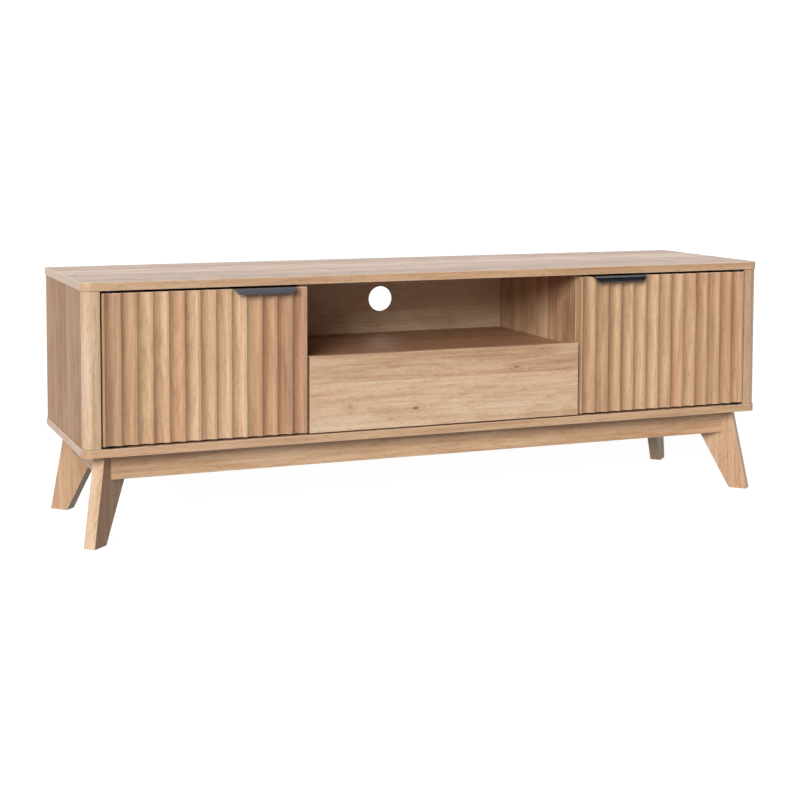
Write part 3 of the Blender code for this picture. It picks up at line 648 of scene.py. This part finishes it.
# ---- edge pulls ----------------------------------------------------------------------
def make_handle(side):
    """A folded strip: seat on the door's edge, round bend, and a lip with cut corners."""
    low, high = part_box(f"{side}_door_handle")
    bend_y, bend_z = low.y + HANDLE_BEND, high.z - HANDLE_BEND
    half = HANDLE_THICKNESS / 2
    line = [(high.y, high.z - half), ((high.y + bend_y) / 2, high.z - half)]
    line += arc((bend_y, bend_z), HANDLE_BEND - half, 90, 180, HANDLE_BEND_STEPS)
    # the lip goes on down from the bend, with a row where its corners start to be cut
    for z in (low.z + HANDLE_CUT, low.z + HANDLE_CUT * 0.5, low.z):
        if z < line[-1][1] - HANDLE_ROW:
            line.append((low.y + half, z))
    shape = bmesh.new()
    rows = []
    for y, z in line:
        in_lip = y < bend_y - HANDLE_BEND * 0.7
        cut = max(0.0, HANDLE_CUT - (z - low.z)) if in_lip else 0.0
        left, right = low.x + cut, high.x - cut
        rows.append([shape.verts.new((left + (right - left) * t / HANDLE_COLUMNS, y, z))
                     for t in range(HANDLE_COLUMNS + 1)])
    for above, below in zip(rows, rows[1:]):
        for i in range(HANDLE_COLUMNS):
            shape.faces.new((above[i], above[i + 1], below[i + 1], below[i]))
    bmesh.ops.recalc_face_normals(shape, faces=shape.faces)
    mesh = mesh_of(f"{side}_pull", shape)
    mesh.materials.append(MATERIALS["handle"])
    pull = put(f"{side}_pull", mesh)
    skin = pull.modifiers.new("thickness", "SOLIDIFY")
    skin.thickness = HANDLE_THICKNESS
    skin.offset = 0.0
    bevel(pull, "edges", HANDLE_ARRIS, 3)
    pull.modifiers.new("flat faces", "WEIGHTED_NORMAL")
    settle(pull, f"{side}_door", "handle_black", f"{side}_door_handle")


for side, sign in SIDES:
    make_handle(side)


# ---- niche back with its cable hole --------------------------------------------------
def make_niche_back():
    """The panel is drawn as a flat filled curve, then stood upright as a mesh."""
    low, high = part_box("niche_back_panel")
    middle_z = (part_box("niche_shelf")[1].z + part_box("top_panel")[0].z) / 2
    curve = bpy.data.curves.new("niche_back", "CURVE")
    curve.dimensions = "2D"
    curve.fill_mode = "BOTH"
    curve.bevel_depth = BACK_ARRIS
    curve.bevel_resolution = 1
    curve.extrude = (high.y - low.y) / 2 - BACK_ARRIS
    curve.offset = -BACK_ARRIS
    corners = [(low.x, low.z), (high.x, low.z), (high.x, high.z), (low.x, high.z)]
    hole = arc((0.0, middle_z), CABLE_HOLE_DIAMETER / 2, 0, 360, CABLE_HOLE_STEPS)[:-1]
    for points in (corners, hole):
        spline = curve.splines.new("POLY")
        spline.points.add(len(points) - 1)
        for point, (x, z) in zip(spline.points, points):
            point.co = (x, z, 0.0, 1.0)
        spline.use_cyclic_u = True
    drawn = put("niche_back_line", curve)
    bpy.context.view_layer.update()
    mesh = bpy.data.meshes.new_from_object(drawn.evaluated_get(
        bpy.context.evaluated_depsgraph_get()))
    bpy.data.objects.remove(drawn)
    mesh.transform(Matrix.Translation((0, (low.y + high.y) / 2, 0))
                   @ Matrix.Rotation(math.radians(90), 4, "X"))
    shape = bmesh.new()
    shape.from_mesh(mesh)
    bmesh.ops.remove_doubles(shape, verts=shape.verts, dist=0.00002)
    bmesh.ops.recalc_face_normals(shape, faces=shape.faces)
    shape.to_mesh(mesh)
    shape.free()
    mesh.materials.clear()
    mesh.materials.append(MATERIALS["back"])
    mesh.shade_smooth()
    mesh.set_sharp_from_angle(angle=SHARP_ANGLE)
    back = put("niche_back", mesh)
    settle(back, "cabinet", "back_board", "niche_back_panel")


make_niche_back()


# ---- CAD nodes that stay -------------------------------------------------------------
def dress(node, finishes, arris):
    """Gives a CAD node its finish, and rounds its edges with modifiers.

    The last of the finishes goes on the rounded edges."""
    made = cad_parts[node]
    made.data.materials.clear()
    for finish in finishes:
        made.data.materials.append(MATERIALS[finish])
    weld = made.modifiers.new("weld", "WELD")
    weld.merge_threshold = SAME_POINT
    edge = bevel(made, "arris", arris, 2)
    edge.use_clamp_overlap = True
    edge.material = len(finishes) - 1
    flat = made.modifiers.new("flat faces", "WEIGHTED_NORMAL")
    flat.keep_sharp = False


DRESSED = {
    "niche_shelf": ("shelf", "arris_x"),
    "drawer_front": ("drawer", "arris_x"),
    "front_apron": ("apron",),
    "rear_apron": ("apron",),
    "left_apron": ("end_apron",),
    "right_apron": ("end_apron",),
    "left_back_panel": ("back",),
    "right_back_panel": ("back",),
    "drawer_left_side": ("box_y",),
    "drawer_right_side": ("box_y",),
    "drawer_back": ("box_x",),
    "drawer_base": ("box_x",),
}
for side, sign in SIDES:
    DRESSED[f"{side}_side_panel"] = ("side", "arris_z")
    DRESSED[f"{side}_divider"] = ("divider", "arris_z")
    DRESSED[f"{side}_inner_shelf"] = ("inner_shelf", "arris_x")
    DRESSED[f"{side}_magnetic_catch"] = ("nylon",)
    DRESSED[f"{side}_strike_plate"] = ("zinc_x",)
    for member in ("outer", "middle", "inner"):
        DRESSED[f"{side}_runner_{member}"] = ("zinc_y",)
    for end in ("upper", "lower"):
        DRESSED[f"{side}_{end}_pivot_plate"] = ("black_steel",)
        DRESSED[f"{side}_{end}_pivot_bush"] = ("nylon",)
    for end, way in (("front", -1), ("rear", 1)):
        diagonal = "leg_left" if way == sign else "leg_right"
        DRESSED[f"{end}_{side}_leg"] = (diagonal, "arris_z")
        for wall in ("inner", "outer"):
            DRESSED[f"{side}_{end}_{wall}_shelf_pin"] = ("zinc_x",)
FITTINGS = ("runner", "strike", "pivot", "pin", "catch")
for node, finishes in DRESSED.items():
    fitting = any(word in node for word in FITTINGS)
    dress(node, finishes, FITTING_ARRIS if fitting else BOARD_ARRIS)


# ---- screws --------------------------------------------------------------------------
def screw_mesh():
    """A low countersunk head with a cross recess, its axis along Z and its rim at zero."""
    shape = bmesh.new()
    rings = []
    for radius, height in ((SCREW_RADIUS, -SCREW_RIM), (SCREW_RADIUS, 0.0),
                           (SCREW_FLAT, SCREW_RISE)):
        ring = []
        for step in range(SCREW_SIDES):
            angle = math.tau * step / SCREW_SIDES
            ring.append(shape.verts.new((radius * math.cos(angle), radius * math.sin(angle), height)))
        rings.append(ring)
    shape.faces.new(rings[0][::-1])
    for below, above in zip(rings, rings[1:]):
        for i in range(SCREW_SIDES):
            j = (i + 1) % SCREW_SIDES
            shape.faces.new((below[i], below[j], above[j], above[i]))
    # the cross is a twelve-cornered hole in the head, with a floor a little deeper
    arm, half = CROSS_ARM, CROSS_HALF_WIDTH
    cross = []
    for turn in range(4):
        for x, y in ((arm, -half), (arm, half), (half, half)):
            angle = math.radians(90 * turn)
            cross.append((x * math.cos(angle) - y * math.sin(angle),
                          x * math.sin(angle) + y * math.cos(angle)))
    rim = [shape.verts.new((x, y, SCREW_RISE)) for x, y in cross]
    sunk = [shape.verts.new((x * CROSS_TAPER, y * CROSS_TAPER, CROSS_FLOOR)) for x, y in cross]
    for i in range(len(cross)):
        j = (i + 1) % len(cross)
        shape.faces.new((rim[i], sunk[i], sunk[j], rim[j]))
    shape.faces.new(sunk)
    edges = [shape.edges.get((ring_a, ring_b)) for loop in (rings[-1], rim)
             for ring_a, ring_b in zip(loop, loop[1:] + loop[:1])]
    bmesh.ops.triangle_fill(shape, use_beauty=True, edges=edges, normal=(0, 0, 1))
    bmesh.ops.recalc_face_normals(shape, faces=shape.faces)
    mesh = mesh_of("screw", shape)
    mesh.set_sharp_from_angle(angle=SHARP_ANGLE)
    return mesh


def drive_screw(name, body, finish, place, out):
    """Sets one screw head in a face; out is the face's outward direction."""
    mesh = SCREW.copy()
    mesh.transform(Vector(out).to_track_quat("Z", "Y").to_matrix().to_4x4())
    mesh.transform(Matrix.Translation(place))
    mesh.materials.append(MATERIALS[finish])
    settle(put(name, mesh), body, "zinc_steel")


def along_x(low, high, part):
    """The middle of a box, moved along x to a part of its length."""
    return Vector((low.x + (high.x - low.x) * part, (low.y + high.y) / 2, (low.z + high.z) / 2))


SCREW = screw_mesh()
for side, sign in SIDES:
    # strike plate, on the back of the door
    low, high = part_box(f"{side}_strike_plate")
    for number, part in enumerate(STRIKE_SCREWS):
        place = along_x(low, high, part)
        place.y = high.y
        drive_screw(f"{side}_strike_screw_{number}", f"{side}_door", "zinc_x", place, (0, 1, 0))
    # magnetic catch, from below
    low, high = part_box(f"{side}_magnetic_catch")
    for number, part in enumerate(CATCH_SCREWS):
        place = along_x(low, high, part)
        place.z = low.z
        drive_screw(f"{side}_catch_screw_{number}", "cabinet", "zinc_x", place, (0, 0, -1))
    # innermost runner channel, through its web into the drawer side
    low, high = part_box(f"{side}_runner_inner")
    web_x = high.x - RUNNER_GAUGE if sign < 0 else low.x + RUNNER_GAUGE
    for number, part in enumerate(RUNNER_SCREWS):
        place = Vector((web_x, low.y + (high.y - low.y) * part, (low.z + high.z) / 2))
        drive_screw(f"{side}_runner_screw_{number}", "drawer", "zinc_y", place, (sign, 0, 0))


# ---- floor, light and camera ---------------------------------------------------------
def stage_card(name, corners, finish):
    """A flat four-cornered card that belongs to the studio."""
    mesh = bpy.data.meshes.new(name)
    mesh.from_pydata(corners, [], [(0, 1, 2, 3)])
    mesh.materials.append(finish)
    card = put(name, mesh)
    card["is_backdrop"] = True
    return card


def make_floor(name, height, grey, glow):
    """A pale sheet of floor; glow is its own even brightness."""
    g = Graph(name)
    cloud = g.noise(g.place(), 3.0, 0.5, 3.0).outputs[0]
    g.feed(g.shader.inputs["Base Color"],
           g.mix(cloud, (grey, grey, grey, 1.0), (grey * 1.03,) * 3 + (1.0,)))
    g.set(Roughness=0.9, Specular_IOR_Level=0.0, Emission_Color=WHITE, Emission_Strength=glow)
    corners = [(x * FLOOR_REACH, y * FLOOR_REACH, height)
               for x, y in ((-1, -1), (1, -1), (1, 1), (-1, 1))]
    return stage_card(name, corners, g.material)


def make_flag(name, low, high):
    """An upright black card that only mirrored rays see."""
    g = Graph(name)
    g.set(Base_Color=BLACK, Roughness=1.0, Specular_IOR_Level=0.0)
    corners = [(low[0], low[1], low[2]), (high[0], high[1], low[2]),
               (high[0], high[1], high[2]), (low[0], low[1], high[2])]
    card = stage_card(name, corners, g.material)
    card.visible_camera = card.visible_diffuse = card.visible_shadow = False


def make_sun(name, azimuth, elevation, spread, strength):
    """A broad distant light; azimuth 0 is straight in front and minus is from the left."""
    data = bpy.data.lights.new(name, "SUN")
    data.angle = math.radians(spread)
    data.energy = strength
    light = put(name, data)
    a, e = math.radians(azimuth), math.radians(elevation)
    way = Vector((math.sin(a) * math.cos(e), -math.cos(a) * math.cos(e), math.sin(e)))
    light.location = way * 5.0
    light.rotation_euler = way.to_track_quat("Z", "Y").to_euler()
    return light


def make_world(seen, lit):
    """White where it is seen or mirrored, dimmer where it only lights."""
    world = bpy.data.worlds.new("studio")
    world.use_nodes = True
    tree = world.node_tree
    tree.nodes.clear()
    path = tree.nodes.new("ShaderNodeLightPath")
    either = tree.nodes.new("ShaderNodeMath")
    either.operation = "MAXIMUM"
    tree.links.new(path.outputs["Is Camera Ray"], either.inputs[0])
    tree.links.new(path.outputs["Is Glossy Ray"], either.inputs[1])
    skies = []
    for strength in (lit, seen):
        sky = tree.nodes.new("ShaderNodeBackground")
        sky.inputs[0].default_value = WHITE
        sky.inputs[1].default_value = strength
        skies.append(sky)
    choose = tree.nodes.new("ShaderNodeMixShader")
    tree.links.new(either.outputs[0], choose.inputs[0])
    tree.links.new(skies[0].outputs[0], choose.inputs[1])
    tree.links.new(skies[1].outputs[0], choose.inputs[2])
    out = tree.nodes.new("ShaderNodeOutputWorld")
    tree.links.new(choose.outputs[0], out.inputs[0])
    bpy.context.scene.world = world


def make_camera():
    """The photograph's view."""
    data = bpy.data.cameras.new("camera")
    data.lens = CAMERA_LENS
    data.sensor_width = CAMERA_SENSOR
    data.shift_y = CAMERA_SHIFT
    data.dof.use_dof = False
    camera = put("camera", data)
    camera.location = CAMERA_PLACE
    camera.rotation_euler = (math.radians(90) + CAMERA_PITCH, CAMERA_ROLL, -CAMERA_YAW)
    bpy.context.scene.camera = camera


# the camera sees a glowing floor; the light comes off a darker one just under it
seen_floor = make_floor("floor", height=-0.0005, grey=0.35, glow=0.92)
seen_floor.visible_diffuse = False
seen_floor.visible_shadow = False
lighting_floor = make_floor("floor_bounce", height=-0.0010, grey=0.32, glow=0.0)
lighting_floor.visible_camera = False
lighting_floor.visible_glossy = False
make_flag("flag", low=(1.0, -2.6, 0.0), high=(4.5, -1.4, 2.6))
make_sun("key", azimuth=-36.0, elevation=23.5, spread=28.0, strength=3.45)
rear_fill = make_sun("rear_fill", azimuth=150.0, elevation=8.0, spread=50.0, strength=0.8)
rear_fill.visible_glossy = False
make_world(seen=1.3, lit=0.13)
make_camera()
bpy.context.scene.view_settings.view_transform = "Standard"

# ---- sizes ---------------------------------------------------------------------------
low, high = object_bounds()
